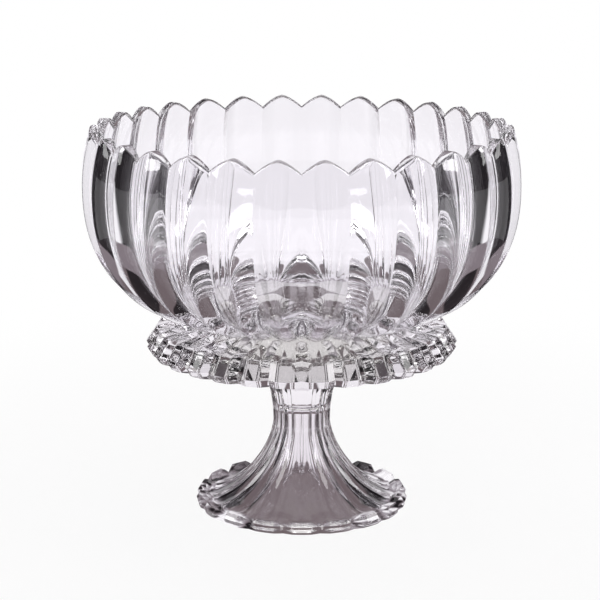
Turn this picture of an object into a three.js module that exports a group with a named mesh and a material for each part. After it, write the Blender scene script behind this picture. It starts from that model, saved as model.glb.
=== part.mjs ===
// Footed crystal bowl: a pleated bowl bonded to a toothed plate, which is bonded to a hollow pedestal.
// Millimetres, +Z up. The origin is the centre of the foot's underside and the front faces -Y.
// Every glass piece is a revolved profile whose wall swings between a ridge line and a groove line.
import * as THREE from 'three';
import { mergeVertices } from 'three/addons/utils/BufferGeometryUtils.js';

const { lerp } = THREE.MathUtils;

// Pedestal, from the table up: foot with petals, flare, waisted stem, flared cap
const FOOT_RADIUS = 62;
const PETAL_HEIGHT = 6.8;
const PETAL_LENGTH = 3;
const PETAL_TOP_BEVEL = 2;
const PETAL_FOOT_BEVEL = 0.9;
const PETAL_HEEL_LENGTH = 3;
const PETAL_HEEL_DROP = 1.2;
const NOTCH_DEPTH = 4.4;
const NOTCH_TABLE_DEPTH = 1.6;
const NOTCH_HEIGHT = 3;
const NOTCH_NARROWNESS = 3;
const FLARE_FULLNESS = 1.62;
const WAIST_HEIGHT = 49.5;
const STEM_RADIUS = 16.7;
const CAP_RISE = 40.7;
const CAP_OVERHANG = 17.3;
const CAP_EDGE_HEIGHT = 2.5;
const CAP_FULLNESS = 2;

// Hollow of the pedestal, open to the table: a bell below, a short blind bore in the stem above
const FOOT_RING_WIDTH = 10;
const STEM_WALL = 7.7;
const BELL_DROP = 2.5;
const BELL_FULLNESS = 1.45;
const BORE_LENGTH = 12;

// Flutes of the pedestal: one ridge, and so one petal tip, at the front centre
const FLUTE_COUNT = 18;
const FLUTE_STEPS = 4;
const STEM_FLUTE_DEPTH = 1;
const FLARE_FLUTE_DEPTH = 2.4;
const CAP_FLUTE_DEPTH = 1.4;

// Toothed plate between the pedestal and the bowl: lower bevel, row of teeth, sloping ledge, flat land
const PLATE_BEVEL_HEIGHT = 4.4;
const PLATE_BEVEL_LEAN = 2.8;
const TOOTH_HEIGHT = 9.4;
const TOOTH_LEAN = 6.3;
const TOOTH_GROOVE_DEPTH = 3;
const LEDGE_WIDTH = 25.4;
const LEDGE_RISE = 5.7;
const LAND_MARGIN = 8;

// Bowl: round belly, upper wall that leans in, zigzag rim; the wall is measured behind a ridge
const BOWL_RADIUS = 125;
const BOWL_BASE_RADIUS = 50;
const BOWL_WALL = 7.2;
const BELLY_HEIGHT = 77.7;
const BELLY_FULLNESS = 2.22;
const UPPER_WALL_HEIGHT = 32.5;
const RIM_LEAN = 5.6;
const RIM_DROP = 7;
const RIM_SHOULDER = 4;

// Pleats, outside only: one over each tooth of the plate, with a groove at the front centre
const PLEAT_COUNT = 30;
const PLEAT_STEPS = 4;
const PLEAT_DEPTH = 4;
const PLEAT_ROUNDNESS = 1.3;
const TOOTH_ROUNDNESS = 2;

// Clear adhesive films that join the three glass pieces
const BOND_FILM = 0.3;
const FILM_SETBACK = 2;
const FILM_SEGMENTS = 60;

// Steps along the curved stretches of the profiles
const BELLY_STEPS = 8;
const UPPER_WALL_STEPS = 3;
const FLARE_STEPS = 7;
const CAP_STEPS = 5;
const BELL_STEPS = 6;

// Radii and heights that follow from the sizes above
const FLARE_RADIUS = FOOT_RADIUS - PETAL_TOP_BEVEL - PETAL_LENGTH - PETAL_HEEL_LENGTH;
const FLARE_HEIGHT = PETAL_HEIGHT - PETAL_HEEL_DROP;
const CAP_RADIUS = STEM_RADIUS + CAP_OVERHANG;
const CAP_UNDERSIDE = WAIST_HEIGHT + CAP_RISE;
const PEDESTAL_HEIGHT = CAP_UNDERSIDE + CAP_EDGE_HEIGHT;
const BORE_RADIUS = STEM_RADIUS - STEM_WALL;
const BELL_HEIGHT = WAIST_HEIGHT - BELL_DROP;
const LAND_RADIUS = BOWL_BASE_RADIUS + LAND_MARGIN;
const LEDGE_RADIUS = LAND_RADIUS + LEDGE_WIDTH;
const PLATE_RADIUS = LEDGE_RADIUS + TOOTH_LEAN;
const LEDGE_HEIGHT = PLATE_BEVEL_HEIGHT + TOOTH_HEIGHT;
const PLATE_HEIGHT = LEDGE_HEIGHT + LEDGE_RISE;
const PEDESTAL_FILM_RADIUS = CAP_RADIUS - CAP_FLUTE_DEPTH - FILM_SETBACK;
const BOWL_FILM_RADIUS = BOWL_BASE_RADIUS - FILM_SETBACK;

// Stack of the pieces above the table
const PLATE_BASE = PEDESTAL_HEIGHT + BOND_FILM;
const PLATE_TOP = PLATE_BASE + PLATE_HEIGHT;
const BOWL_BASE = PLATE_TOP + BOND_FILM;

const CRYSTAL = { color: 0xf4f2f7, roughness: 0.03, metalness: 0 };
const ADHESIVE = { color: 0xf8f8f6, roughness: 0.15, metalness: 0 };

// A profile point: x is the radius and y the height
function point(radius, height) {
  return new THREE.Vector2(radius, height);
}

// Quarter of a superellipse that leaves `start` upright and comes level at `end`
function quarter(start, end, fullness, steps) {
  const points = [];
  for (let step = 0; step <= steps; step += 1) {
    const angle = (Math.PI / 2) * (step / steps);
    const across = 1 - Math.max(Math.cos(angle), 0) ** (2 / fullness);
    const along = Math.sin(angle) ** (2 / fullness);
    points.push(point(lerp(start.x, end.x, across), lerp(start.y, end.y, along)));
  }
  return points;
}

// The line moved by depth(index) to the left of its direction of travel
function inset(line, depth) {
  return line.map((place, index) => {
    const before = line[Math.max(index - 1, 0)];
    const after = line[Math.min(index + 1, line.length - 1)];
    const travel = after.clone().sub(before).normalize();
    return point(place.x - travel.y * depth(index), place.y + travel.x * depth(index));
  });
}

// Revolves a profile that swings from the ridge line to the groove line `count` times round the axis.
// share(turn, row) is how far a row of the wall lies towards the groove, at turn 0 to 1 across a repeat.
function revolve(ridge, groove, count, steps, share) {
  const lathe = new THREE.LatheGeometry(ridge, count * steps);
  const position = lathe.attributes.position;
  for (let column = 0; column <= count * steps; column += 1) {
    const angle = (column / (count * steps)) * Math.PI * 2;
    const turn = (column % steps) / steps;
    ridge.forEach((place, row) => {
      const here = place.clone().lerp(groove[row], share(turn, row));
      const vertex = column * ridge.length + row;
      position.setXYZ(vertex, here.x * Math.sin(angle), here.y, here.x * Math.cos(angle));
    });
  }
  lathe.rotateX(Math.PI / 2);
  lathe.deleteAttribute('normal');
  lathe.deleteAttribute('uv');
  const closed = mergeVertices(lathe);
  closed.computeVertexNormals();
  return closed;
}

// Pleats and teeth: sharp groove at both ends of the repeat, soft ridge in its middle
function pleatShare(turn, roundness) {
  return Math.abs(1 - 2 * turn) ** roundness;
}

// Flutes: sharp ridge at both ends of the repeat, hollowed between them
function fluteShare(turn) {
  return 1 - (1 - 2 * turn) ** 2;
}

// Petals: blunt tip at both ends of the repeat, sharp notch in its middle
function petalShare(turn) {
  return (1 - Math.abs(1 - 2 * turn)) ** NOTCH_NARROWNESS;
}

function piece(name, geometry, finish, height) {
  const mesh = new THREE.Mesh(geometry, new THREE.MeshStandardMaterial(finish));
  mesh.name = name;
  mesh.position.z = height;
  return mesh;
}

// Blind hollow from the middle of its ceiling down to the inner edge of the foot ring
function hollowLine() {
  const ceiling = BELL_HEIGHT + BORE_LENGTH;
  const mouth = point(FOOT_RADIUS - FOOT_RING_WIDTH, 0);
  const bell = quarter(point(BORE_RADIUS, BELL_HEIGHT), mouth, BELL_FULLNESS, BELL_STEPS);
  return [point(0, ceiling), point(BORE_RADIUS, ceiling), ...bell];
}

// Petal of the foot from the table up its blunt tip and over its top
function petalLine() {
  const topEdge = FOOT_RADIUS - PETAL_TOP_BEVEL;
  return [
    point(FOOT_RADIUS - PETAL_FOOT_BEVEL, 0),
    point(FOOT_RADIUS, PETAL_HEIGHT / 2),
    point(topEdge, PETAL_HEIGHT),
    point(topEdge - PETAL_LENGTH, PETAL_HEIGHT),
  ];
}

// The petal line lowered to the notch between two petals and drawn back, least at the table
function notchLine(petal) {
  const lowering = NOTCH_HEIGHT / PETAL_HEIGHT;
  return petal.map((place) => {
    const depth = lerp(NOTCH_TABLE_DEPTH, NOTCH_DEPTH, place.y / PETAL_HEIGHT);
    const reach = 1 - depth / (FOOT_RADIUS - FLARE_RADIUS);
    return point(lerp(FLARE_RADIUS, place.x, reach), place.y * lowering);
  });
}

function pedestal() {
  const hollow = hollowLine();
  const petal = petalLine();
  const waist = point(STEM_RADIUS, WAIST_HEIGHT);
  const flare = quarter(waist, point(FLARE_RADIUS, FLARE_HEIGHT), FLARE_FULLNESS, FLARE_STEPS).reverse();
  const cap = quarter(waist, point(CAP_RADIUS, CAP_UNDERSIDE), CAP_FULLNESS, CAP_STEPS).slice(1);
  const flareDepth = (index) => lerp(FLARE_FLUTE_DEPTH, STEM_FLUTE_DEPTH, index / FLARE_STEPS);
  const capDepth = (index) => lerp(STEM_FLUTE_DEPTH, CAP_FLUTE_DEPTH, (index + 1) / CAP_STEPS);
  const top = point(0, PEDESTAL_HEIGHT);

  const capEdge = point(CAP_RADIUS, PEDESTAL_HEIGHT);
  const capEdgeGroove = point(CAP_RADIUS - CAP_FLUTE_DEPTH, PEDESTAL_HEIGHT);
  const stem = [...flare, ...cap, capEdge];
  const stemGroove = [...inset(flare, flareDepth), ...inset(cap, capDepth), capEdgeGroove];
  const ridge = [...hollow, ...petal, ...stem, top];
  const groove = [...hollow, ...notchLine(petal), ...stemGroove, top];
  const isPetal = (row) => row >= hollow.length && row < hollow.length + petal.length;
  const share = (turn, row) => (isPetal(row) ? petalShare(turn) : fluteShare(turn));
  return revolve(ridge, groove, FLUTE_COUNT, FLUTE_STEPS, share);
}

function toothedPlate() {
  const edge = [
    point(PLATE_RADIUS - PLATE_BEVEL_LEAN, 0),
    point(PLATE_RADIUS, PLATE_BEVEL_HEIGHT),
    point(LEDGE_RADIUS, LEDGE_HEIGHT),
  ];
  const cut = edge.map((place) => point(place.x - TOOTH_GROOVE_DEPTH, place.y));
  const land = [point(LAND_RADIUS, PLATE_HEIGHT), point(0, PLATE_HEIGHT)];
  const underside = point(0, 0);
  const ridge = [underside, ...edge, ...land];
  const groove = [underside, ...cut, ...land];
  return revolve(ridge, groove, PLEAT_COUNT, PLEAT_STEPS, (turn) => pleatShare(turn, TOOTH_ROUNDNESS));
}

// Radius of the bowl's outer ridge line at that rise above the belly
function upperRadius(rise) {
  return BOWL_RADIUS - RIM_LEAN * (rise / UPPER_WALL_HEIGHT) ** 2;
}

// Outer ridge line of the bowl's wall, from the base up to the shoulder below the zigzag
function bowlWallLine() {
  const belly = point(BOWL_RADIUS, BELLY_HEIGHT);
  const wall = quarter(belly, point(BOWL_BASE_RADIUS, 0), BELLY_FULLNESS, BELLY_STEPS).reverse();
  const shoulderRise = UPPER_WALL_HEIGHT - RIM_DROP - RIM_SHOULDER;
  for (let step = 1; step <= UPPER_WALL_STEPS; step += 1) {
    const rise = shoulderRise * (step / UPPER_WALL_STEPS);
    wall.push(point(upperRadius(rise), BELLY_HEIGHT + rise));
  }
  return wall;
}

// How deep the pleats are at that point of the wall: nothing at the base, full from the belly up
function pleatDepth(index) {
  const climb = Math.min(index / BELLY_STEPS, 1);
  return PLEAT_DEPTH * Math.sqrt(Math.sin((Math.PI / 2) * climb));
}

// Outer and inner edge of the rim at that rise above the belly, the outer one cut back by the pleat
function rimEdges(rise, cut) {
  const height = BELLY_HEIGHT + rise;
  return [point(upperRadius(rise) - cut, height), point(upperRadius(rise) - BOWL_WALL, height)];
}

function bowl() {
  const wall = bowlWallLine();
  const outerGroove = inset(wall, pleatDepth);
  const inside = [...inset(wall, () => BOWL_WALL).reverse(), point(0, BOWL_WALL)];
  const rim = rimEdges(UPPER_WALL_HEIGHT, 0);
  const rimGroove = rimEdges(UPPER_WALL_HEIGHT - RIM_DROP, PLEAT_DEPTH);
  const underside = point(0, 0);
  const ridge = [underside, ...wall, ...rim, ...inside];
  const groove = [underside, ...outerGroove, ...rimGroove, ...inside];
  return revolve(ridge, groove, PLEAT_COUNT, PLEAT_STEPS, (turn) => pleatShare(turn, PLEAT_ROUNDNESS));
}

function bondFilm(radius) {
  const disc = new THREE.CylinderGeometry(radius, radius, BOND_FILM, FILM_SEGMENTS);
  disc.rotateX(Math.PI / 2);
  disc.translate(0, 0, BOND_FILM / 2);
  disc.deleteAttribute('normal');
  disc.deleteAttribute('uv');
  const closed = mergeVertices(disc);
  closed.computeVertexNormals();
  return closed;
}

const footedBowl = new THREE.Group();
footedBowl.add(piece('pedestal', pedestal(), CRYSTAL, 0));
footedBowl.add(piece('pedestal_bond_film', bondFilm(PEDESTAL_FILM_RADIUS), ADHESIVE, PEDESTAL_HEIGHT));
footedBowl.add(piece('toothed_plate', toothedPlate(), CRYSTAL, PLATE_BASE));
footedBowl.add(piece('bowl_bond_film', bondFilm(BOWL_FILM_RADIUS), ADHESIVE, PLATE_TOP));
footedBowl.add(piece('bowl', bowl(), CRYSTAL, BOWL_BASE));

export default footedBowl;
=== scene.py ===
"""Footed crystal bowl: fine fire-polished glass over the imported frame, with its table, light and camera."""
import logging
import math
from collections.abc import Callable, Sequence
from dataclasses import dataclass
from enum import Enum

import bpy
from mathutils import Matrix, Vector


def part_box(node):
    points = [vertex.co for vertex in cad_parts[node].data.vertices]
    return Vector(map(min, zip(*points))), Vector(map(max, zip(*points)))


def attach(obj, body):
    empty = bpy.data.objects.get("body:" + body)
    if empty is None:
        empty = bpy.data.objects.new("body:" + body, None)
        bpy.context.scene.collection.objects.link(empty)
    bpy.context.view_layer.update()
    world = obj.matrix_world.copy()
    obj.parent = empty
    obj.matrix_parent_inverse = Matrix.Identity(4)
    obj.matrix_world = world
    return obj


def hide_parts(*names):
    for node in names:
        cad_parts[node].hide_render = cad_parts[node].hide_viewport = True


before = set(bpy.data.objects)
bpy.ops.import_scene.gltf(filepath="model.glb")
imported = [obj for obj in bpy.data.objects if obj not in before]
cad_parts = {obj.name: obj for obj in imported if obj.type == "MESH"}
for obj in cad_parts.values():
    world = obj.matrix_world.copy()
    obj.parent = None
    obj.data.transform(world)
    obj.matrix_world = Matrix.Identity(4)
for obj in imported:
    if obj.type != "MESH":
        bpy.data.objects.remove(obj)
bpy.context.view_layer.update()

log = logging.getLogger("footed_bowl")

MM = 0.001
FULL_TURN = 2 * math.pi
HALF_TURN_DEGREES = 180.0
ROOT_BODY = "root"
WELD_DISTANCE = 1e-6
# Fullness of a plain ellipse
ELLIPSE = 2.0
PLAIN_WHITE = (1, 1, 1, 1)
# Half the width, in degrees, of the blend between two sectors of the studio
SECTOR_SOFTNESS = 1.0
# Places of the colour sockets on a Mix node
MIX_FIRST, MIX_SECOND, MIX_RESULT = 6, 7, 2

Profile = list[Vector]
Share = Callable[[float], float]
Colour = tuple[float, float, float]
Socket = bpy.types.NodeSocket


class Zone(Enum):
    """Stretches of a profile that swing to the groove line in a way of their own."""

    WALL = "wall"
    PETALS = "petals"


class Tone(Enum):
    """Tones in which the studio is painted for the light that reaches the lens by way of the glass."""

    WHITE = (0.98, 0.965, 0.99)
    WALL = (0.8, 0.775, 0.81)
    PALE = (0.42, 0.39, 0.425)
    MID = (0.4, 0.365, 0.4)
    GREY = (0.235, 0.2, 0.22)
    SHADE = (0.165, 0.132, 0.14)
    DIM = (0.12, 0.105, 0.117)
    BLACK = (0.012, 0.01, 0.012)


Value = Socket | Tone | float | tuple[float, ...]


def spot(radius: float, height: float) -> Vector:
    """A profile point at that radius and height."""
    return Vector((radius, 0.0, height))


def mix(start: float, end: float, share: float) -> float:
    """The value that lies that share of the way from start to end."""
    return start + (end - start) * share


def straight(start: Vector, end: Vector, steps: int) -> Profile:
    """Points of a straight stretch, without its start."""
    return [start.lerp(end, step / steps) for step in range(1, steps + 1)]


def quarter(start: Vector, end: Vector, fullness: float, steps: int) -> Profile:
    """Quarter of a superellipse that leaves start upright and comes level at end.

    Args:
        start: The point where the curve runs upright.
        end: The point where the curve runs level.
        fullness: ELLIPSE for an ellipse, more for a fuller curve.
        steps: Stretches along the curve.

    Returns:
        The points from start to end.
    """
    line = []
    for step in range(steps + 1):
        angle = math.pi / 2 * step / steps
        across = 1 - max(math.cos(angle), 0.0) ** (2 / fullness)
        along = math.sin(angle) ** (2 / fullness)
        line.append(spot(mix(start.x, end.x, across), mix(start.z, end.z, along)))
    return line


def inset(line: Profile, depths: Sequence[float]) -> Profile:
    """Moves a line to the left of its direction of travel.

    Args:
        line: The points to move.
        depths: How far to move each point.

    Returns:
        The moved points.
    """
    moved = []
    for index, place in enumerate(line):
        before = line[max(index - 1, 0)]
        after = line[min(index + 1, len(line) - 1)]
        travel = (after - before).normalized()
        moved.append(place + Vector((-travel.z, 0.0, travel.x)) * depths[index])
    return moved


def soft_ridge(roundness: float) -> Share:
    """Sharp groove at both ends of a repeat, ridge in its middle; a higher roundness is softer."""
    return lambda turn: abs(1 - 2 * turn) ** roundness


def blunt_ridge(flat: float) -> Share:
    """Sharp groove at both ends of a repeat, flat ridge in its middle, over that share of it."""
    return lambda turn: max(abs(1 - 2 * turn) - flat, 0.0) / (1 - flat)


def hollow_flute(turn: float) -> float:
    """Sharp ridge at both ends of a repeat, hollowed between them."""
    return 1 - (1 - 2 * turn) ** 2


def blunt_petal(flat: float) -> Share:
    """Flat tip at both ends of a repeat, over that share of it, and a notch between them."""
    return lambda turn: max(1 - abs(1 - 2 * turn) - flat, 0.0) / (1 - flat)


def only(piece: bpy.types.Object) -> None:
    """Makes one piece the only selected one, and the active one.

    Args:
        piece: The piece to work on.
    """
    bpy.ops.object.select_all(action="DESELECT")
    piece.select_set(True)
    bpy.context.view_layer.objects.active = piece


def draw_line(name: str, line: Profile) -> bpy.types.Object:
    """Draws a profile by extruding one vertex from point to point.

    Args:
        name: The new object's name.
        line: The points to draw through.

    Returns:
        A wire whose vertices follow the line's order.
    """
    bpy.ops.object.select_all(action="DESELECT")
    bpy.ops.mesh.primitive_plane_add(size=MM, location=line[0])
    wire = bpy.context.object
    wire.name = wire.data.name = name
    bpy.ops.object.transform_apply(location=True, rotation=True, scale=True)
    bpy.ops.object.mode_set(mode="EDIT")
    bpy.ops.mesh.select_all(action="SELECT")
    bpy.ops.mesh.merge(type="CENTER")
    for here, there in zip(line, line[1:]):
        bpy.ops.mesh.extrude_region_move(TRANSFORM_OT_translate={"value": there - here})
    bpy.ops.object.mode_set(mode="OBJECT")
    return wire


def spin_wedge(wire: bpy.types.Object, angle: float, columns: int) -> None:
    """Spins a wire about the bowl's axis.

    Args:
        wire: The profile to spin.
        angle: How far it turns.
        columns: Columns of faces that it leaves.
    """
    only(wire)
    bpy.ops.object.mode_set(mode="EDIT")
    bpy.ops.mesh.select_all(action="SELECT")
    bpy.ops.mesh.spin(steps=columns, angle=angle, center=(0, 0, 0), axis=(0, 0, 1))
    bpy.ops.object.mode_set(mode="OBJECT")


def repeat_round(piece: bpy.types.Object, count: int) -> None:
    """Repeats a wedge round the bowl's axis until it closes.

    Args:
        piece: The wedge.
        count: How many wedges make the full turn.
    """
    bpy.ops.object.select_all(action="DESELECT")
    bpy.ops.object.empty_add(rotation=(0, 0, FULL_TURN / count))
    turn = bpy.context.object
    only(piece)
    bpy.ops.object.modifier_add(type="ARRAY")
    array = piece.modifiers[-1]
    array.count = count
    array.use_relative_offset = False
    array.use_object_offset = True
    array.offset_object = turn
    bpy.ops.object.modifier_apply(modifier=array.name)
    bpy.data.objects.remove(turn, do_unlink=True)


def weld(piece: bpy.types.Object) -> None:
    """Closes the seams and the poles of a spun piece and turns its faces outwards.

    Args:
        piece: The spun piece.
    """
    only(piece)
    bpy.ops.object.mode_set(mode="EDIT")
    bpy.ops.mesh.select_all(action="SELECT")
    bpy.ops.mesh.remove_doubles(threshold=WELD_DISTANCE)
    bpy.ops.mesh.normals_make_consistent(inside=False)
    bpy.ops.object.mode_set(mode="OBJECT")


@dataclass
class Swing:
    """How a spun wall swings between its ridge line and its groove line.

    Attributes:
        count: Repeats round the axis.
        columns: Columns of faces in one repeat.
        shares: For each zone, how far it lies towards the groove across one repeat.
        crease: Sharpest turn between two faces that is still shaded smooth.
    """

    count: int
    columns: int
    shares: dict[Zone, Share]
    crease: float = math.radians(32)

    def build(self, name: str, ridge: Profile, groove: Profile,
              zones: dict[Zone, Sequence[int]]) -> bpy.types.Object:
        """Spins both lines and blends them into one closed piece.

        Args:
            name: The piece's name.
            ridge: The profile along a ridge, from the axis round to the axis.
            groove: The profile along a groove, point for point with the ridge.
            zones: The profile points that belong to each zone.

        Returns:
            The finished, closed piece.
        """
        piece = draw_line(name, ridge)
        for zone, rows in zones.items():
            piece.vertex_groups.new(name=zone.value).add(list(rows), 1.0, "REPLACE")
        wedge = FULL_TURN / self.count
        spin_wedge(piece, wedge, self.columns)
        valley = draw_line(name + "_groove", groove)
        spin_wedge(valley, wedge, self.columns)
        self._blend(piece, valley)
        repeat_round(piece, self.count)
        weld(piece)
        bpy.ops.object.shade_smooth_by_angle(angle=self.crease)
        return piece

    def _blend(self, piece: bpy.types.Object, valley: bpy.types.Object) -> None:
        """Takes the groove wall in as a shape, weighted by the swing, and applies the mix.

        Args:
            piece: The ridge wall, which becomes the blend.
            valley: The groove wall, which is used up.
        """
        only(piece)
        valley.select_set(True)
        bpy.ops.object.join_shapes()
        bpy.data.objects.remove(valley, do_unlink=True)
        only(piece)
        swing = piece.vertex_groups.new(name="swing")
        zone_of = {piece.vertex_groups[zone.value].index: zone for zone in self.shares}
        for vertex in piece.data.vertices:
            share = self.shares[zone_of[vertex.groups[0].group]]
            angle = math.atan2(vertex.co.x, -vertex.co.y) % FULL_TURN
            turn = angle / FULL_TURN * self.count % 1
            swing.add([vertex.index], share(turn), "REPLACE")
        shape = piece.data.shape_keys.key_blocks[-1]
        shape.vertex_group = swing.name
        shape.value = 1.0
        piece.active_shape_key_index = 0
        bpy.ops.object.shape_key_remove(all=True, apply_mix=True)
        piece.vertex_groups.clear()


@dataclass(frozen=True)
class Band:
    """One band of the studio round the bowl, with a tone for each sector.

    Attributes:
        start: Where the band begins: a radius on the table, or a height in the sky as a share of overhead.
        back: Tone behind the bowl.
        flank: Tone beside the back.
        side: Tone to the left and right.
        front: Tone on the camera's side.
    """

    start: float
    back: Tone
    flank: Tone
    side: Tone
    front: Tone


@dataclass
class Board:
    """The nodes of a material or a world, with the few steps that they are made in."""

    tree: bpy.types.NodeTree

    def node(self, kind: str) -> bpy.types.Node:
        """A new node of that kind."""
        return self.tree.nodes.new(kind)

    def feed(self, socket: Socket, value: Value) -> None:
        """Links a value to a socket, or sets the socket to it.

        Args:
            socket: The socket to feed.
            value: Another node's output, a tone, or a plain value.
        """
        if isinstance(value, bpy.types.NodeSocket):
            self.tree.links.new(value, socket)
        elif isinstance(value, Tone):
            socket.default_value = (*value.value, 1)
        else:
            socket.default_value = value

    def fill(self, node: bpy.types.Node, feeds: dict[str | int, Value]) -> None:
        """Feeds several sockets of a node, by their names or places."""
        for socket, value in feeds.items():
            self.feed(node.inputs[socket], value)

    def show(self, surface: Socket) -> None:
        """Makes that surface the one that shows."""
        self.feed(self.tree.nodes["Material Output"].inputs["Surface"], surface)

    def reckon(self, operation: str, first: Value, second: Value = 0.0) -> Socket:
        """Does one step of arithmetic.

        Args:
            operation: The Math node's name for the step.
            first: The first value.
            second: The second value, where the step takes two.

        Returns:
            The result.
        """
        step = self.node("ShaderNodeMath")
        step.operation = operation
        self.fill(step, {0: first, 1: second})
        return step.outputs["Value"]

    def add_squares(self, first: Socket, second: Socket) -> Socket:
        """The sum of the squares of two values."""
        return self.reckon("ADD", self.reckon("POWER", first, 2.0), self.reckon("POWER", second, 2.0))

    def fade(self, value: Socket, start: float, end: float, low: float = 0.0, high: float = 1.0) -> Socket:
        """Steps softly from low to high.

        Args:
            value: What the step goes by.
            start: Where the step begins.
            end: Where the step ends.
            low: The result before the step.
            high: The result after the step.

        Returns:
            The result.
        """
        step = self.node("ShaderNodeMapRange")
        step.interpolation_type = "SMOOTHSTEP"
        self.fill(step, {"Value": value, "From Min": start, "From Max": end, "To Min": low, "To Max": high})
        return step.outputs["Result"]

    def until(self, value: Socket, end: float, softness: float) -> Socket:
        """One while the value is below the end, and nought past it."""
        return self.fade(value, end - softness, end + softness, 1.0, 0.0)

    def past(self, value: Socket, start: float, softness: float) -> Socket:
        """Nought while the value is below the start, and one past it."""
        return self.fade(value, start - softness, start + softness)

    def ramp(self, value: Socket, stops: Sequence[tuple[float, Tone]]) -> Socket:
        """Turns a value into a tone.

        Args:
            value: What the tone goes by, from nought to one.
            stops: Tones and the values at which they stand, in order.

        Returns:
            The tone.
        """
        ramp = self.node("ShaderNodeValToRGB")
        elements = ramp.color_ramp.elements
        while len(elements) < len(stops):
            elements.new(1.0)
        for element, (place, tone) in zip(elements, stops):
            element.position = place
            element.color = (*tone.value, 1)
        self.feed(ramp.inputs["Fac"], value)
        return ramp.outputs["Color"]

    def blend(self, share: Value, first: Value, second: Value) -> Socket:
        """Mixes two colours.

        Args:
            share: How far the mix lies towards the second colour.
            first: The first colour.
            second: The second colour.

        Returns:
            The mixed colour.
        """
        blend = self.node("ShaderNodeMix")
        blend.data_type = "RGBA"
        self.fill(blend, {"Factor": share, MIX_FIRST: first, MIX_SECOND: second})
        return blend.outputs[MIX_RESULT]

    def choose(self, share: Socket, first: Socket, second: Socket) -> Socket:
        """Mixes two surfaces.

        Args:
            share: How far the mix lies towards the second surface.
            first: The first surface.
            second: The second surface.

        Returns:
            The mixed surface.
        """
        blend = self.node("ShaderNodeMixShader")
        self.fill(blend, {"Fac": share, 1: first, 2: second})
        return blend.outputs["Shader"]

    def noise(self, scale: float, detail: float, distortion: float = 0.0) -> Socket:
        """Soft clouds that stay with the object.

        Args:
            scale: Clouds to a metre.
            detail: Finer clouds within the clouds.
            distortion: How far the clouds are stirred.

        Returns:
            The clouds' density.
        """
        place = self.node("ShaderNodeTexCoord")
        clouds = self.node("ShaderNodeTexNoise")
        self.fill(clouds, {"Vector": place.outputs["Object"], "Scale": scale})
        self.fill(clouds, {"Detail": detail, "Distortion": distortion})
        return clouds.outputs["Fac"]

    def axes(self, coordinates: str) -> tuple[Socket, Socket, Socket]:
        """Splits coordinates.

        Args:
            coordinates: Which of the coordinates to split.

        Returns:
            Their x, y and z.
        """
        place = self.node("ShaderNodeTexCoord")
        split = self.node("ShaderNodeSeparateXYZ")
        self.feed(split.inputs["Vector"], place.outputs[coordinates])
        return split.outputs["X"], split.outputs["Y"], split.outputs["Z"]

    def bearing(self, x: Socket, y: Socket) -> Socket:
        """The bearing from straight back, in degrees, the same to the left and the right."""
        angle = self.reckon("ARCTAN2", self.reckon("ABSOLUTE", x), y)
        return self.reckon("MULTIPLY", angle, math.degrees(1))

    def bands(self, bands: Sequence[Band], edges: Sequence[float], along: Socket, softness: float,
              x: Socket, y: Socket) -> Socket:
        """Paints bands, each with its four sectors.

        Args:
            bands: The bands in order.
            edges: Bearings from straight back, in degrees, at which the sectors meet.
            along: The measure that the bands begin by.
            softness: Half the width of the blend between two bands.
            x: Place to the right.
            y: Place to the back.

        Returns:
            The painted colour.
        """
        turn = self.reckon("DIVIDE", self.bearing(x, y), HALF_TURN_DEGREES)
        paint = None
        for band in bands:
            tones = (band.back, band.flank, band.side, band.front)
            stops = [(0.0, band.back)]
            for edge, before, after in zip(edges, tones, tones[1:]):
                stops.append(((edge - SECTOR_SOFTNESS) / HALF_TURN_DEGREES, before))
                stops.append(((edge + SECTOR_SOFTNESS) / HALF_TURN_DEGREES, after))
            tone = self.ramp(turn, stops)
            if paint is None:
                paint = tone
            else:
                paint = self.blend(self.past(along, band.start, softness), paint, tone)
        return paint


def new_material(name: str) -> tuple[bpy.types.Material, Board]:
    """Makes a material.

    Args:
        name: The material's name.

    Returns:
        The material and its nodes.
    """
    material = bpy.data.materials.new(name)
    material.use_nodes = True
    return material, Board(material.node_tree)


@dataclass(frozen=True)
class CrystalFinish:
    """Clear fire-polished pressed crystal.

    Attributes:
        tint: Colour of the light that the glass lets through at each face; deeper in a thicker piece.
        ior: Refractive index.
        ripple_size: Size of the soft ripples that the press leaves in the skin.
        ripple_detail: Finer ripples within them.
        ripple_height: Height of the ripples.
        least_roughness: Roughness where the skin is clearest.
        most_roughness: Roughness where the skin is haziest.
        shade: Share of the light that each face lets through to a shadow.
    """

    name: str
    tint: Colour
    ior: float = 1.52
    ripple_size: float = 9 * MM
    ripple_detail: float = 1.0
    ripple_height: float = 0.004 * MM
    least_roughness: float = 0.0
    most_roughness: float = 0.012
    shade: float = 0.9

    def make(self) -> bpy.types.Material:
        """Builds the material.

        Returns:
            Glass that bends all light except the light on its way to a shadow.
        """
        material, board = new_material(self.name)
        ripple = board.noise(1 / self.ripple_size, self.ripple_detail)
        bump = board.node("ShaderNodeBump")
        board.fill(bump, {"Distance": self.ripple_height, "Height": ripple})
        haze = board.node("ShaderNodeMapRange")
        board.fill(haze, {"Value": ripple, "To Min": self.least_roughness, "To Max": self.most_roughness})
        glass = board.tree.nodes["Principled BSDF"]
        board.fill(glass, {"Base Color": (*self.tint, 1), "Transmission Weight": 1.0, "IOR": self.ior})
        board.fill(glass, {"Normal": bump.outputs["Normal"], "Roughness": haze.outputs["Result"]})
        clear = board.node("ShaderNodeBsdfTransparent")
        board.feed(clear.inputs["Color"], (self.shade, self.shade, self.shade, 1))
        path = board.node("ShaderNodeLightPath")
        shadow = path.outputs["Is Shadow Ray"]
        board.show(board.choose(shadow, glass.outputs["BSDF"], clear.outputs["BSDF"]))
        return material


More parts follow.
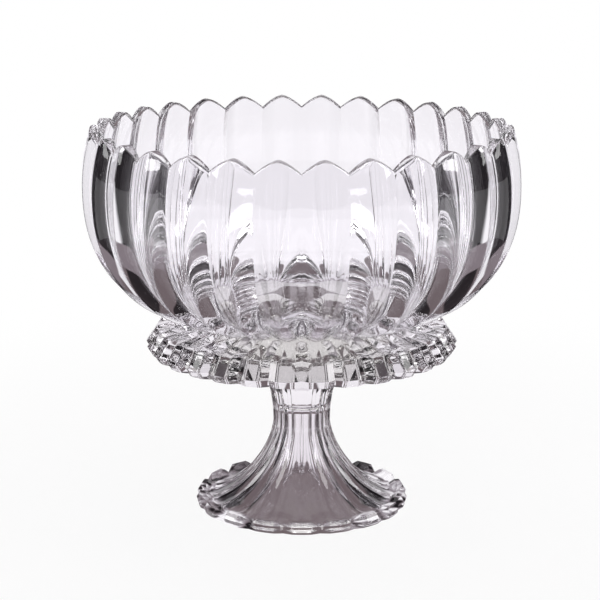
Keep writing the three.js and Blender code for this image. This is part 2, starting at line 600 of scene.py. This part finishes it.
@dataclass(frozen=True)
class BondFinish:
    """Clear cured adhesive in full contact with the glass, so that light passes it unbent.

    Attributes:
        clear: Colour of the light that it lets through where it is clearest.
        cloudy: The same where it is cloudiest.
    """

    name: str = "clear_adhesive"
    clear: Colour = (0.99, 0.99, 0.985)
    cloudy: Colour = (0.95, 0.95, 0.945)
    cloud_size: float = 14 * MM
    cloud_detail: float = 2.0

    def make(self) -> bpy.types.Material:
        """Builds the material.

        Returns:
            A film that tints light without bending it.
        """
        material, board = new_material(self.name)
        board.tree.nodes.remove(board.tree.nodes["Principled BSDF"])
        shade = board.node("ShaderNodeValToRGB")
        for element, colour in zip(shade.color_ramp.elements, (self.clear, self.cloudy)):
            element.color = (*colour, 1)
        board.feed(shade.inputs["Fac"], board.noise(1 / self.cloud_size, self.cloud_detail))
        film = board.node("ShaderNodeBsdfTransparent")
        board.feed(film.inputs["Color"], shade.outputs["Color"])
        board.show(film.outputs["BSDF"])
        return material


@dataclass
class GlassPiece:
    """What the three glass pieces share.

    Attributes:
        node: The frame's node that the piece replaces.
        finish: The piece's glass.
    """

    node: str
    finish: CrystalFinish

    @property
    def floor(self) -> float:
        """Height of the node's lowest point above the table."""
        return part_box(self.node)[0].z

    def raised(self, line: Profile) -> Profile:
        """The line lifted from the table to the node's lowest point."""
        lift = spot(0, self.floor)
        return [place + lift for place in line]

    def dress(self, piece: bpy.types.Object, bond: bpy.types.Material,
              bonds: Sequence[tuple[float, float]]) -> None:
        """Gives the piece its glass, its bonded faces and its place on the frame.

        Args:
            piece: The finished mesh.
            bond: The finish of the faces that adhesive wets.
            bonds: Height and radius of each bonded disc.
        """
        piece.data.materials.append(self.finish.make())
        piece.data.materials.append(bond)
        for face in piece.data.polygons:
            centre = face.center
            for height, radius in bonds:
                level = abs(centre.z - height) < WELD_DISTANCE
                if level and math.hypot(centre.x, centre.y) < radius:
                    face.material_index = 1
        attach(piece, ROOT_BODY)
        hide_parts(self.node)


@dataclass
class Bowl(GlassPiece):
    """The bowl: pleated outside, smooth inside, with a zigzag rim.

    Attributes:
        wall: Thickness of the wall behind a ridge.
        belly_height: Height of the widest place above the base.
        belly_fullness: How full the belly's curve is.
        upper_height: Rise of the rim's tips above the belly.
        rim_lean: How far the rim leans in.
        rim_drop: How far the rim drops from a tip to a valley.
        rim_shoulder: How far below the tips the zigzag begins.
        rim_fillet: Rounding of the rim's two edges.
        pleat_roundness: How round the ridges are; 1 is a plain fold.
        pleat_onset: How soon the pleats deepen above the base; less is sooner.
    """

    node: str = "bowl"
    finish: CrystalFinish = CrystalFinish("bowl_crystal", (0.985, 0.975, 0.997))
    radius: float = 125 * MM
    base_radius: float = 50 * MM
    wall: float = 7.2 * MM
    belly_height: float = 77.7 * MM
    belly_fullness: float = 2.22
    upper_height: float = 32.5 * MM
    rim_lean: float = 5.6 * MM
    rim_drop: float = 7 * MM
    rim_shoulder: float = 20 * MM
    rim_fillet: float = 1.1 * MM
    pleats: int = 30
    pleat_depth: float = 4 * MM
    pleat_roundness: float = 1.5
    pleat_onset: float = 0.28
    pleat_columns: int = 20
    belly_steps: int = 44
    upper_steps: int = 6
    shoulder_steps: int = 10
    fillet_steps: int = 4
    rim_steps: int = 3
    floor_steps: int = 4

    def upper_spot(self, rise: float) -> Vector:
        """The outer ridge line's point at that rise above the belly."""
        lean = self.rim_lean * (rise / self.upper_height) ** 2
        return spot(self.radius - lean, self.belly_height + rise)

    def belly_line(self) -> Profile:
        """The outer ridge line from the base up to the belly."""
        belly = spot(self.radius, self.belly_height)
        return quarter(belly, spot(self.base_radius, 0), self.belly_fullness, self.belly_steps)[::-1]

    def upper_rises(self) -> list[float]:
        """Steps up the upper wall.

        Returns:
            Rises above the belly, up to the rim's fillet.
        """
        shoulder = self.upper_height - self.rim_shoulder
        climb = self.rim_shoulder - self.rim_fillet
        rises = [shoulder * step / self.upper_steps for step in range(1, self.upper_steps + 1)]
        for step in range(1, self.shoulder_steps + 1):
            rises.append(shoulder + climb * step / self.shoulder_steps)
        return rises

    def lowered(self, rise: float) -> float:
        """The rise to which the zigzag brings that rise down in a valley."""
        share = max(rise - self.upper_height + self.rim_shoulder, 0.0) / self.rim_shoulder
        return rise - self.rim_drop * share ** 2

    def rim_line(self, rise: float, cut: float) -> Profile:
        """The rim's flat top between its two rounded edges, from outside to inside.

        Args:
            rise: Rise of the rim above the belly.
            cut: How far the pleat cuts the outer edge back.

        Returns:
            The points, without the ends of the two walls.
        """
        edge = self.upper_spot(rise)
        outer = edge.x - cut
        inner = edge.x - self.wall
        below = edge.z - self.rim_fillet
        outer_top = spot(outer - self.rim_fillet, edge.z)
        line = quarter(spot(outer, below), outer_top, ELLIPSE, self.fillet_steps)[1:]
        line += straight(line[-1], spot(inner + self.rim_fillet, edge.z), self.rim_steps)
        line += quarter(spot(inner, below), line[-1], ELLIPSE, self.fillet_steps)[-2:0:-1]
        return line

    def pleat_depths(self) -> list[float]:
        """Depths of the pleats at the belly line's points, from nothing at the base."""
        rises = [math.sin(math.pi / 2 * step / self.belly_steps) for step in range(self.belly_steps + 1)]
        return [self.pleat_depth * rise ** self.pleat_onset for rise in rises]

    def build(self, film_radius: float) -> bpy.types.Object:
        """Models the bowl.

        Args:
            film_radius: Radius of the bonded disc under the base.

        Returns:
            The finished piece.
        """
        belly = self.belly_line()
        rises = self.upper_rises()
        wall = belly + [self.upper_spot(rise) for rise in rises]
        valley = belly + [self.upper_spot(self.lowered(rise)) for rise in rises]
        depths = self.pleat_depths() + [self.pleat_depth] * len(rises)
        thick = [self.wall] * len(wall)
        under = [spot(0, 0), *straight(spot(0, 0), spot(film_radius, 0), self.floor_steps)]
        inner = inset(wall, thick)[::-1]
        bottom = straight(inner[-1], spot(0, self.wall), self.floor_steps)
        tips = self.rim_line(self.upper_height, 0.0)
        valleys = self.rim_line(self.upper_height - self.rim_drop, self.pleat_depth)
        ridge = [*under, *wall, *tips, *inner, *bottom]
        groove = [*under, *inset(valley, depths), *valleys, *inset(valley, thick)[::-1], *bottom]
        swing = Swing(self.pleats, self.pleat_columns, {Zone.WALL: soft_ridge(self.pleat_roundness)})
        zones = {Zone.WALL: range(len(ridge))}
        return swing.build("crystal_bowl", self.raised(ridge), self.raised(groove), zones)


@dataclass
class ToothedPlate(GlassPiece):
    """The round plate under the bowl, with a tooth below each pleat.

    Attributes:
        land_radius: Radius of the flat land that the bowl stands on.
        ledge_width: Width of the sloping ledge round the land.
        ledge_rise: How far the ledge rises to the land.
        tooth_lean: How far the teeth lean out from the ledge to the bevel.
        bevel_lean: How far the bevel draws in below the teeth.
        groove_depth: How far the grooves cut in between the teeth.
        groove_run: Steps in which the grooves run out under the plate.
        ledge_groove_depth: How far the grooves sink into the ledge.
        tooth_flat: Share of a tooth's width that is flat.
    """

    node: str = "toothed_plate"
    finish: CrystalFinish = CrystalFinish("plate_crystal", (0.955, 0.935, 0.965))
    land_radius: float = 58 * MM
    ledge_width: float = 25.4 * MM
    ledge_rise: float = 5.7 * MM
    tooth_lean: float = 6.3 * MM
    tooth_height: float = 9.4 * MM
    bevel_height: float = 4.4 * MM
    bevel_lean: float = 2.8 * MM
    groove_depth: float = 3 * MM
    groove_run: int = 2
    ledge_groove_depth: float = 1.4 * MM
    teeth: int = 30
    tooth_flat: float = 0.45
    tooth_columns: int = 20
    cap_film_steps: int = 3
    under_steps: int = 6
    bevel_steps: int = 4
    tooth_steps: int = 8
    ledge_steps: int = 10
    land_steps: int = 2
    bowl_film_steps: int = 4

    @property
    def ledge_radius(self) -> float:
        """Radius of the ledge's outer edge."""
        return self.land_radius + self.ledge_width

    @property
    def ledge_height(self) -> float:
        """Height of the ledge's outer edge above the plate's underside."""
        return self.bevel_height + self.tooth_height

    def edge_lines(self, start: Vector) -> tuple[Profile, Profile]:
        """The underside past the bonded disc, the bevel and the teeth.

        Args:
            start: The bonded disc's edge.

        Returns:
            The line along a tooth and the line along a groove.
        """
        radius = self.ledge_radius + self.tooth_lean
        bottom = spot(radius - self.bevel_lean, 0)
        middle = spot(radius, self.bevel_height)
        top = spot(self.ledge_radius, self.ledge_height)
        ridge = straight(start, bottom, self.under_steps)
        groove = []
        for step, place in enumerate(ridge, 1):
            share = max(step - self.under_steps + self.groove_run, 0) / self.groove_run
            groove.append(place - spot(self.groove_depth * share, 0))
        cut = spot(self.groove_depth, 0)
        for low, high, steps in ((bottom, middle, self.bevel_steps), (middle, top, self.tooth_steps)):
            ridge += straight(low, high, steps)
            groove += straight(low - cut, high - cut, steps)
        return ridge, groove

    def ledge_lines(self, end: Vector) -> tuple[Profile, Profile]:
        """The ledge from the teeth to the land.

        Args:
            end: The land's edge.

        Returns:
            The line in line with a tooth and the line along a groove.
        """
        ridge = straight(spot(self.ledge_radius, self.ledge_height), end, self.ledge_steps)
        groove = []
        for step, place in enumerate(ridge, 1):
            fade = 1 - step / self.ledge_steps
            sink = self.ledge_groove_depth * math.sin(math.pi * fade)
            groove.append(place - spot(self.groove_depth * fade, sink))
        return ridge, groove

    def build(self, cap_film: float, bowl_film: float) -> bpy.types.Object:
        """Models the plate.

        Args:
            cap_film: Radius of the bonded disc under the plate.
            bowl_film: Radius of the bonded disc on the plate.

        Returns:
            The finished piece.
        """
        height = self.ledge_height + self.ledge_rise
        land_edge = spot(self.land_radius, height)
        film_edge = spot(bowl_film, height)
        under = [spot(0, 0), *straight(spot(0, 0), spot(cap_film, 0), self.cap_film_steps)]
        edge, edge_groove = self.edge_lines(under[-1])
        ledge, ledge_groove = self.ledge_lines(land_edge)
        land = straight(land_edge, film_edge, self.land_steps)
        land += straight(film_edge, spot(0, height), self.bowl_film_steps)
        ridge = [*under, *edge, *ledge, *land]
        groove = [*under, *edge_groove, *ledge_groove, *land]
        swing = Swing(self.teeth, self.tooth_columns, {Zone.WALL: blunt_ridge(self.tooth_flat)})
        zones = {Zone.WALL: range(len(ridge))}
        return swing.build("crystal_toothed_plate", self.raised(ridge), self.raised(groove), zones)


@dataclass
class Pedestal(GlassPiece):
    """The hollow fluted pedestal with its petal foot.

    Attributes:
        ring_width: Width of the ring that the foot stands on.
        petal_length: Length of a petal's flat top.
        heel_length: Length of the dip between a petal and the flare.
        heel_drop: How far that dip lies below the petal's top.
        notch_depth: How far a notch cuts in at the height of the petals' tops.
        notch_table_depth: How far a notch cuts in at the table.
        petal_flat: Share of a petal's width that is flat.
        waist_height: Height of the narrowest place.
        stem_radius: Radius of the narrowest place.
        cap_rise: Rise of the cap's underside from the waist to its edge.
        cap_overhang: How far the cap's edge stands out past the waist.
        bell_drop: How far below the waist the hollow begins to widen.
        bore_length: Length of the straight hollow above that.
        ceiling_fillet: Rounding of the hollow's ceiling.
        ceiling_inner: Radius of the ceiling's middle facets, as a share of the bore's.
        crease: Sharpest turn between two faces that is still shaded smooth.
    """

    node: str = "pedestal"
    finish: CrystalFinish = CrystalFinish("pedestal_crystal", (0.97, 0.95, 0.975))
    foot_radius: float = 62 * MM
    ring_width: float = 10 * MM
    petal_height: float = 6.8 * MM
    petal_length: float = 3 * MM
    petal_top_bevel: float = 2 * MM
    petal_foot_bevel: float = 0.9 * MM
    heel_length: float = 3 * MM
    heel_drop: float = 1.2 * MM
    notch_depth: float = 4.4 * MM
    notch_table_depth: float = 1.6 * MM
    notch_height: float = 3 * MM
    petal_flat: float = 1 / 2
    waist_height: float = 49.5 * MM
    stem_radius: float = 16.7 * MM
    flare_fullness: float = 1.62
    cap_rise: float = 40.7 * MM
    cap_overhang: float = 17.3 * MM
    cap_edge: float = 2.5 * MM
    cap_fullness: float = ELLIPSE
    stem_wall: float = 7.7 * MM
    bell_drop: float = 2.5 * MM
    bell_fullness: float = 1.45
    bore_length: float = 12 * MM
    ceiling_fillet: float = 2 * MM
    ceiling_inner: float = 1 / 3
    flutes: int = 18
    flute_columns: int = 24
    stem_flute: float = 0.6 * MM
    flare_flute: float = 1.5 * MM
    cap_flute: float = 0.7 * MM
    crease: float = math.radians(14)
    petal_steps: int = 3
    flare_steps: int = 32
    cap_steps: int = 20
    edge_steps: int = 2
    crown_steps: int = 3
    fillet_steps: int = 4
    bore_steps: int = 4
    bell_steps: int = 28

    @property
    def top(self) -> float:
        """Height of the cap's flat top."""
        return self.waist_height + self.cap_rise + self.cap_edge

    def hollow_line(self) -> Profile:
        """The hollow's own line.

        Returns:
            The points from the middle of its ceiling down to the foot ring.
        """
        bore = self.stem_radius - self.stem_wall
        neck = self.waist_height - self.bell_drop
        ceiling = neck + self.bore_length
        mouth = spot(self.foot_radius - self.ring_width, 0)
        bell = quarter(spot(bore, neck), mouth, self.bell_fullness, self.bell_steps)
        wall_end = spot(bore, ceiling - self.ceiling_fillet)
        ceiling_end = spot(bore - self.ceiling_fillet, ceiling)
        rounding = quarter(wall_end, ceiling_end, ELLIPSE, self.fillet_steps)[::-1]
        down = straight(wall_end, bell[0], self.bore_steps)
        return [spot(0, ceiling), spot(bore * self.ceiling_inner, ceiling), *rounding, *down, *bell[1:]]

    def petal_line(self) -> Profile:
        """A petal of the foot.

        Returns:
            The points from the table up its blunt tip and over its top.
        """
        tip = self.foot_radius
        edge = tip - self.petal_top_bevel
        corners = [
            spot(tip - self.petal_foot_bevel, 0),
            spot(tip, self.petal_height / 2),
            spot(edge, self.petal_height),
            spot(edge - self.petal_length, self.petal_height),
        ]
        line = [corners[0]]
        for start, end in zip(corners, corners[1:]):
            line += straight(start, end, self.petal_steps)
        return line

    def notch_line(self, petal: Profile, heel: float) -> Profile:
        """The petal's line lowered to the notch beside it and drawn back, least at the table.

        Args:
            petal: The petal's line.
            heel: Radius of the petal's inner end.

        Returns:
            The notch's line, with as many places as the petal's.
        """
        lowering = self.notch_height / self.petal_height
        line = []
        for place in petal:
            depth = mix(self.notch_table_depth, self.notch_depth, place.z / self.petal_height)
            reach = 1 - depth / (self.foot_radius - heel)
            line.append(spot(mix(heel, place.x, reach), place.z * lowering))
        return line

    def flute_depths(self) -> list[float]:
        """Depths of the flutes.

        Returns:
            One depth for each point of the flare and then of the cap.
        """
        flare = [step / self.flare_steps for step in range(self.flare_steps + 1)]
        cap = [step / self.cap_steps for step in range(1, self.cap_steps + 1)]
        depths = [mix(self.flare_flute, self.stem_flute, share) for share in flare]
        return depths + [mix(self.stem_flute, self.cap_flute, share) for share in cap]

    def build(self, cap_film: float) -> bpy.types.Object:
        """Models the pedestal.

        Args:
            cap_film: Radius of the bonded disc on the cap.

        Returns:
            The finished piece.
        """
        hollow = self.hollow_line()
        petal = self.petal_line()
        waist = spot(self.stem_radius, self.waist_height)
        heel = spot(petal[-1].x - self.heel_length, self.petal_height - self.heel_drop)
        cap_radius = self.stem_radius + self.cap_overhang
        cap_under = spot(cap_radius, self.waist_height + self.cap_rise)
        flare = quarter(waist, heel, self.flare_fullness, self.flare_steps)[::-1]
        cap = quarter(waist, cap_under, self.cap_fullness, self.cap_steps)[1:]
        stem = [*flare, *cap]
        edge = straight(cap_under, spot(cap_radius, self.top), self.edge_steps)
        edge_groove = [place - spot(self.cap_flute, 0) for place in edge]
        film_edge = spot(cap_film, self.top)
        crown = [film_edge, *straight(film_edge, spot(0, self.top), self.crown_steps)]
        notch = self.notch_line(petal, heel.x)
        ridge = [*hollow, *petal, *stem, *edge, *crown]
        groove = [*hollow, *notch, *inset(stem, self.flute_depths()), *edge_groove, *crown]
        petals = range(len(hollow), len(hollow) + len(petal))
        fluted = [row for row in range(len(ridge)) if row not in petals]
        shares = {Zone.WALL: hollow_flute, Zone.PETALS: blunt_petal(self.petal_flat)}
        swing = Swing(self.flutes, self.flute_columns, shares, self.crease)
        return swing.build("crystal_pedestal", ridge, groove, {Zone.WALL: fluted, Zone.PETALS: petals})


@dataclass
class BondFilm:
    """A thin disc of clear adhesive between two glass faces: the frame's own disc, which stays."""

    node: str

    @property
    def radius(self) -> float:
        """Radius of the disc."""
        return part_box(self.node)[1].x

    def dress(self, bond: bpy.types.Material) -> None:
        """Gives the disc its finish.

        Args:
            bond: The finish of cured adhesive.
        """
        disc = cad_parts[self.node]
        disc.data.materials.clear()
        disc.data.materials.append(bond)


@dataclass(frozen=True)
class SoftBox:
    """A soft lamp, with its power in watts, that is turned to the bowl."""

    place: tuple[float, float, float]
    width: float
    height: float
    power: float

    def hang(self, target: Vector) -> None:
        """Hangs the lamp.

        Args:
            target: The point that it is turned to.
        """
        place = Vector(self.place)
        turn = (target - place).to_track_quat("-Z", "Y").to_euler()
        bpy.ops.object.select_all(action="DESELECT")
        bpy.ops.object.light_add(type="AREA", location=place, rotation=turn)
        lamp = bpy.context.object
        lamp.name = "soft_box"
        lamp.data.shape = "RECTANGLE"
        lamp.data.size = self.width
        lamp.data.size_y = self.height
        lamp.data.energy = self.power


@dataclass
class Studio:
    """Table, light and camera.

    The camera itself sees a white table and a white sky. The light that reaches it by way of the
    glass comes from a studio of white, grey and black zones, and these give crystal its contrast;
    on the table these zones are painted light and shade.

    Attributes:
        distance: From the camera to the point of the axis that it looks at.
        pitch: How far down the camera looks.
        look_height: Height of that point.
        lens: Focal length on a sensor of the usual width.
        shift: Sideways shift of the picture, as a share of its width.
        whiteness: Share of the table that is plain white for the camera, beside the bowl and far away.
        white_from: Distances from the axis between which the table whitens.
        ring_edges: Bearings at which the table's sectors meet.
        rings: The table's zones of painted light and shade.
        ring_softness: Half the width of the blend between two zones of the table.
        sky_edges: Bearings at which the sky's sectors meet.
        sky: The zones above the table.
        sky_softness: Half the width of the blend between two zones of the sky.
        net: The light that the foot throws on the table round it.
        net_reach: Distances from the axis between which that light lies.
        net_fringe: Half the width of the blend at its outer edge.
        net_scale: Its bright and dark patches to a metre.
        net_distortion: How far the patches are stirred.
        light_patch_reach: Distances behind the axis between which a white patch of painted light lies.
        light_patch_edge: Bearing of that painted light's edges, in degrees.
        shade_half: Half the width and half the length of the shade under the foot.
        shade_rim: Where the shade's soft edge begins and ends, in squares of its half sizes.
        bounces: How often a ray may be bent on its way through the glass.
        glossy_bounces: How often it may be reflected.
    """

    distance: float = 1168.8 * MM
    pitch: float = math.radians(14.06)
    look_height: float = 120.9 * MM
    lens: float = 121.5
    shift: float = -0.0028
    far_clip: float = 100.0
    table_size: float = 12.0
    table_colour: Colour = (0.9, 0.9, 0.9)
    whiteness: tuple[float, float] = (0.85, 1.0)
    white_from: tuple[float, float] = (0.12, 0.5)
    ring_edges: tuple[float, ...] = (38, 75, 115)
    rings: tuple[Band, ...] = (
        Band(0.0, Tone.GREY, Tone.BLACK, Tone.BLACK, Tone.SHADE),
        Band(0.05, Tone.GREY, Tone.PALE, Tone.MID, Tone.SHADE),
        Band(0.085, Tone.SHADE, Tone.BLACK, Tone.SHADE, Tone.SHADE),
        Band(0.29, Tone.SHADE, Tone.GREY, Tone.GREY, Tone.PALE),
        Band(0.37, Tone.WHITE, Tone.GREY, Tone.GREY, Tone.WHITE),
        Band(0.45, Tone.WHITE, Tone.BLACK, Tone.WHITE, Tone.WHITE),
    )
    ring_softness: float = 4 * MM
    sky_edges: tuple[float, ...] = (22, 75, 115)
    sky: tuple[Band, ...] = (
        Band(-1.0, Tone.WALL, Tone.BLACK, Tone.DIM, Tone.DIM),
        Band(0.31, Tone.DIM, Tone.BLACK, Tone.DIM, Tone.DIM),
        Band(0.5, Tone.PALE, Tone.BLACK, Tone.DIM, Tone.DIM),
        Band(0.74, Tone.DIM, Tone.DIM, Tone.DIM, Tone.DIM),
    )
    sky_softness: float = 0.03
    net: tuple[tuple[float, Tone], ...] = (
        (0.42, Tone.BLACK), (0.48, Tone.GREY), (0.55, Tone.PALE), (0.6, Tone.WHITE),
    )
    net_reach: tuple[float, float] = (50 * MM, 85 * MM)
    net_fringe: float = 10 * MM
    net_scale: float = 70.0
    net_detail: float = 1.0
    net_distortion: float = 0.6
    light_patch_reach: tuple[float, float] = (60 * MM, 240 * MM)
    light_patch_edge: float = 24
    shade_half: tuple[float, float] = (36 * MM, 68 * MM)
    shade_rim: tuple[float, float] = (0.85, 1.15)
    boxes: tuple[SoftBox, ...] = (
        SoftBox((0, 0.2, 1.7), 2.2, 2.2, 16),
        SoftBox((1.3, -0.1, 1.0), 0.4, 1.3, 9),
        SoftBox((-1.3, -0.1, 1.0), 0.4, 1.3, 9),
    )
    bounces: int = 32
    glossy_bounces: int = 16

    def place_camera(self) -> None:
        """Puts the camera where the photograph was taken from."""
        back = Vector((0, -math.cos(self.pitch), math.sin(self.pitch)))
        place = Vector((0, 0, self.look_height)) + back * self.distance
        bpy.ops.object.select_all(action="DESELECT")
        bpy.ops.object.camera_add(location=place, rotation=(math.pi / 2 - self.pitch, 0, 0))
        camera = bpy.context.object
        camera.name = "photo_camera"
        camera.data.lens = self.lens
        camera.data.shift_x = self.shift
        camera.data.clip_end = self.far_clip
        bpy.context.scene.camera = camera

    def _lay_net(self, board: Board, paint: Socket, distance: Socket) -> Socket:
        """Paints the net of light round the foot.

        Args:
            board: The table's nodes.
            paint: The colour under the net.
            distance: Distance from the axis.

        Returns:
            The painted colour.
        """
        near, far = self.net_reach
        speckle = board.noise(self.net_scale, self.net_detail, self.net_distortion)
        inside = board.past(distance, near, self.ring_softness)
        outside = board.until(distance, far, self.net_fringe)
        return board.blend(board.reckon("MULTIPLY", inside, outside), paint, board.ramp(speckle, self.net))

    def _lay_light_patch(self, board: Board, paint: Socket, bearing: Socket, distance: Socket) -> Socket:
        """Paints a white patch of painted light on the table behind the bowl.

        Args:
            board: The table's nodes.
            paint: The colour under that painted light.
            bearing: Bearing from straight back, in degrees.
            distance: Distance from the axis.

        Returns:
            The painted colour.
        """
        near, far = self.light_patch_reach
        within = board.until(bearing, self.light_patch_edge, SECTOR_SOFTNESS)
        after = board.past(distance, near, self.ring_softness)
        before = board.until(distance, far, self.ring_softness)
        # The patch of painted light: white within its bearing and its distances from the axis.
        light_patch = board.reckon("MULTIPLY", within, board.reckon("MULTIPLY", after, before))
        return board.blend(light_patch, paint, Tone.WHITE)

    def _table_paint(self, board: Board, x: Socket, y: Socket, distance: Socket) -> Socket:
        """The table's painted light and shade, as the rays by way of the glass see it.

        Args:
            board: The table's nodes.
            x: Place to the right.
            y: Place to the back.
            distance: Distance from the axis.

        Returns:
            The painted colour.
        """
        paint = board.bands(self.rings, self.ring_edges, distance, self.ring_softness, x, y)
        paint = self._lay_net(board, paint, distance)
        paint = self._lay_light_patch(board, paint, board.bearing(x, y), distance)
        # Painted shadow under the foot: a soft dark ellipse in the shade tone over the rest of the paint.
        half_width, half_length = self.shade_half
        across = board.reckon("DIVIDE", x, half_width)
        along = board.reckon("DIVIDE", y, half_length)
        beyond = board.fade(board.add_squares(across, along), *self.shade_rim)
        return board.blend(beyond, Tone.SHADE, paint)

    def lay_table(self) -> None:
        """Lays the pale table that keeps the bowl's shadow."""
        bpy.ops.object.select_all(action="DESELECT")
        bpy.ops.mesh.primitive_plane_add(size=self.table_size)
        table = bpy.context.object
        table.name = "table"
        material, board = new_material("white_table")
        surface = board.tree.nodes["Principled BSDF"]
        board.fill(surface, {"Base Color": (*self.table_colour, 1)})
        board.fill(surface, {"Roughness": 1.0, "Specular IOR Level": 0.0})
        x, y, _ = board.axes("Object")
        distance = board.reckon("SQRT", board.add_squares(x, y))
        path = board.node("ShaderNodeLightPath")
        white = board.node("ShaderNodeEmission")
        # Rays bent or reflected by the glass see the table glow with painted light and shade instead of its
        # lit surface.
        painted = board.node("ShaderNodeEmission")
        board.feed(painted.inputs["Color"], self._table_paint(board, x, y, distance))
        whiteness = board.fade(distance, *self.white_from, *self.whiteness)
        plain = board.reckon("MULTIPLY", path.outputs["Is Camera Ray"], whiteness)
        seen = board.choose(plain, surface.outputs["BSDF"], white.outputs["Emission"])
        bent = board.reckon("MAXIMUM", path.outputs["Is Glossy Ray"], path.outputs["Is Transmission Ray"])
        board.show(board.choose(bent, seen, painted.outputs["Emission"]))
        table.data.materials.append(material)

    def light(self) -> None:
        """Sets the surroundings and hangs the soft boxes."""
        scene = bpy.context.scene
        world = bpy.data.worlds.new("studio")
        scene.world = world
        world.use_nodes = True
        board = Board(world.node_tree)
        x, y, z = board.axes("Generated")
        path = board.node("ShaderNodeLightPath")
        zones = board.bands(self.sky, self.sky_edges, z, self.sky_softness, x, y)
        paint = board.blend(path.outputs["Is Camera Ray"], zones, PLAIN_WHITE)
        board.feed(board.tree.nodes["Background"].inputs["Color"], paint)
        for box in self.boxes:
            box.hang(Vector((0, 0, self.look_height)))
        log.info("%d soft boxes", len(self.boxes))
        log.info("%d zones of sky, %d of table", len(self.sky), len(self.rings))
        scene.view_settings.view_transform = "Standard"
        scene.cycles.max_bounces = self.bounces
        scene.cycles.transmission_bounces = self.bounces
        scene.cycles.glossy_bounces = self.glossy_bounces
        scene.cycles.transparent_max_bounces = self.bounces


def main() -> None:
    """Builds, dresses, stages and lights the footed bowl."""
    logging.basicConfig(level=logging.INFO)
    bond = BondFinish().make()
    cap_film = BondFilm("pedestal_bond_film")
    bowl_film = BondFilm("bowl_bond_film")
    bowl, plate, pedestal = Bowl(), ToothedPlate(), Pedestal()
    plate_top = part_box(plate.node)[1].z
    made = [
        (bowl, bowl.build(bowl_film.radius), [(bowl.floor, bowl_film.radius)]),
        (plate, plate.build(cap_film.radius, bowl_film.radius),
         [(plate.floor, cap_film.radius), (plate_top, bowl_film.radius)]),
        (pedestal, pedestal.build(cap_film.radius), [(pedestal.top, cap_film.radius)]),
    ]
    for part, piece, bonds in made:
        part.dress(piece, bond, bonds)
        log.info("%s: %d faces", piece.name, len(piece.data.polygons))
    for film in (cap_film, bowl_film):
        film.dress(bond)
        log.info("%s: radius %.1f mm", film.node, film.radius / MM)
    studio = Studio()
    studio.place_camera()
    studio.lay_table()
    studio.light()


if __name__ == "__main__":
    main()
